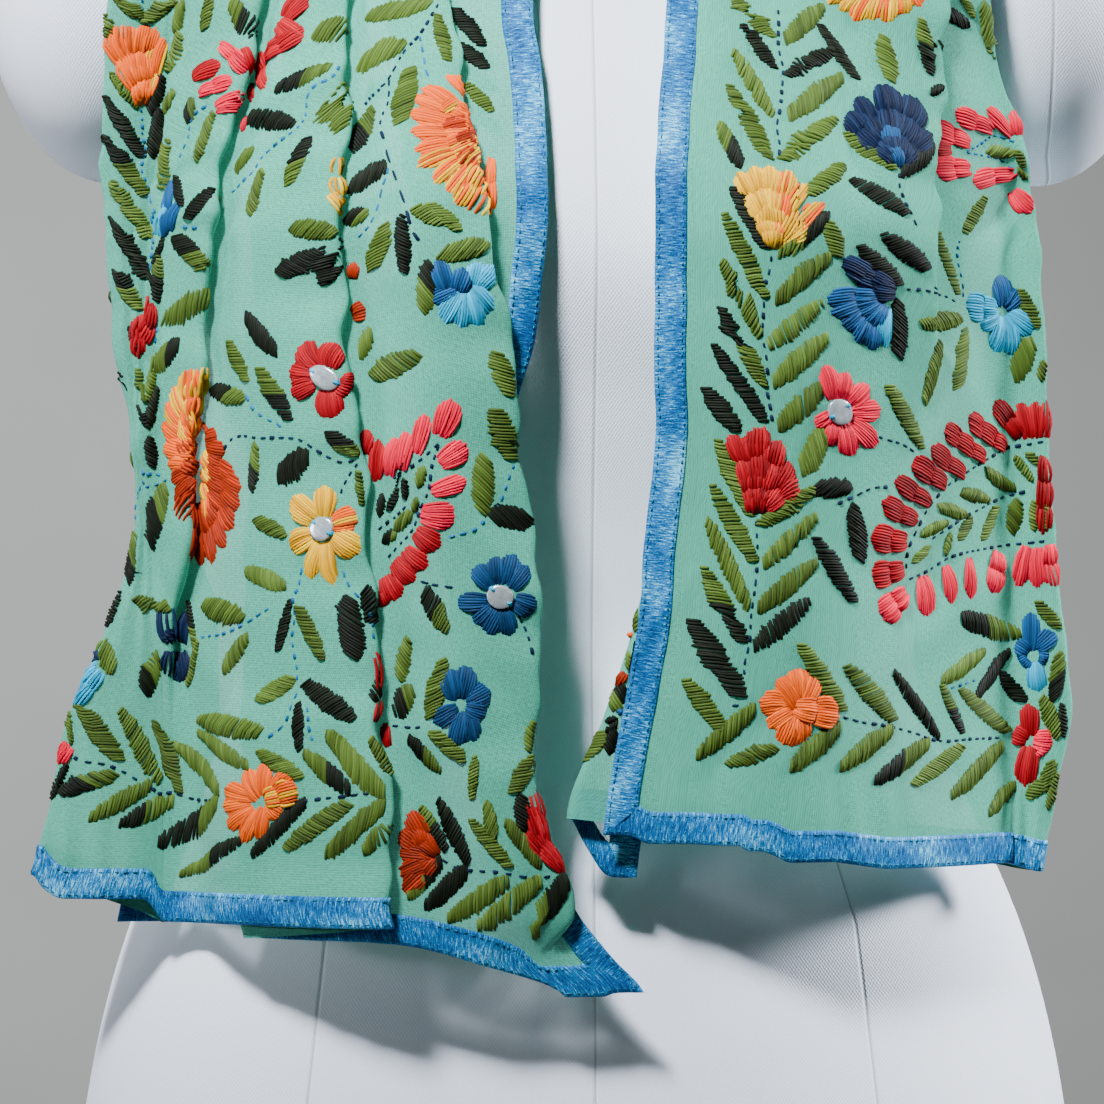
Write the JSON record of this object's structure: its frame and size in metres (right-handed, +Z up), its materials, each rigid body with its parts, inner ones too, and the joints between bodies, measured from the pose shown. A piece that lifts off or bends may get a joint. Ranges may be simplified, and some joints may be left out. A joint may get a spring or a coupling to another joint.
{
  "type": "phulkari shawl on a dress form",
  "caption": "Ribbon-bound sheer shawl with folk floral embroidery, hung in pleats round the neck of a limbless counter-top dress form.",
  "frame": {"origin": "centre of the dress form's flat underside", "axes": "+Z up along the form, -Y towards its front, +X towards the viewer's right"},
  "size_m": [0.425, 0.2557, 0.7036],
  "materials": {
    "dress_form": "matt white fabric cover",
    "shawl_left_fall": "sheer crinkled georgette",
    "shawl_neck": "sheer crinkled georgette",
    "shawl_right_fall": "sheer crinkled georgette",
    "binding_inner_left": "glossy satin ribbon",
    "binding_outer_left": "glossy satin ribbon",
    "binding_hem_left": "glossy satin ribbon",
    "binding_inner_neck": "glossy satin ribbon",
    "binding_outer_neck": "glossy satin ribbon",
    "binding_inner_right": "glossy satin ribbon",
    "binding_outer_right": "glossy satin ribbon",
    "binding_hem_right": "glossy satin ribbon"
  },
  "bodies": {
    "root": {"dress_form": "dress_form", "shawl_left_fall": "shawl_left_fall", "shawl_neck": "shawl_neck", "shawl_right_fall": "shawl_right_fall", "binding_inner_left": "binding_inner_left", "binding_outer_left": "binding_outer_left", "binding_hem_left": "binding_hem_left", "binding_inner_neck": "binding_inner_neck", "binding_outer_neck": "binding_outer_neck", "binding_inner_right": "binding_inner_right", "binding_outer_right": "binding_outer_right", "binding_hem_right": "binding_hem_right"}
  },
  "joints": []
}
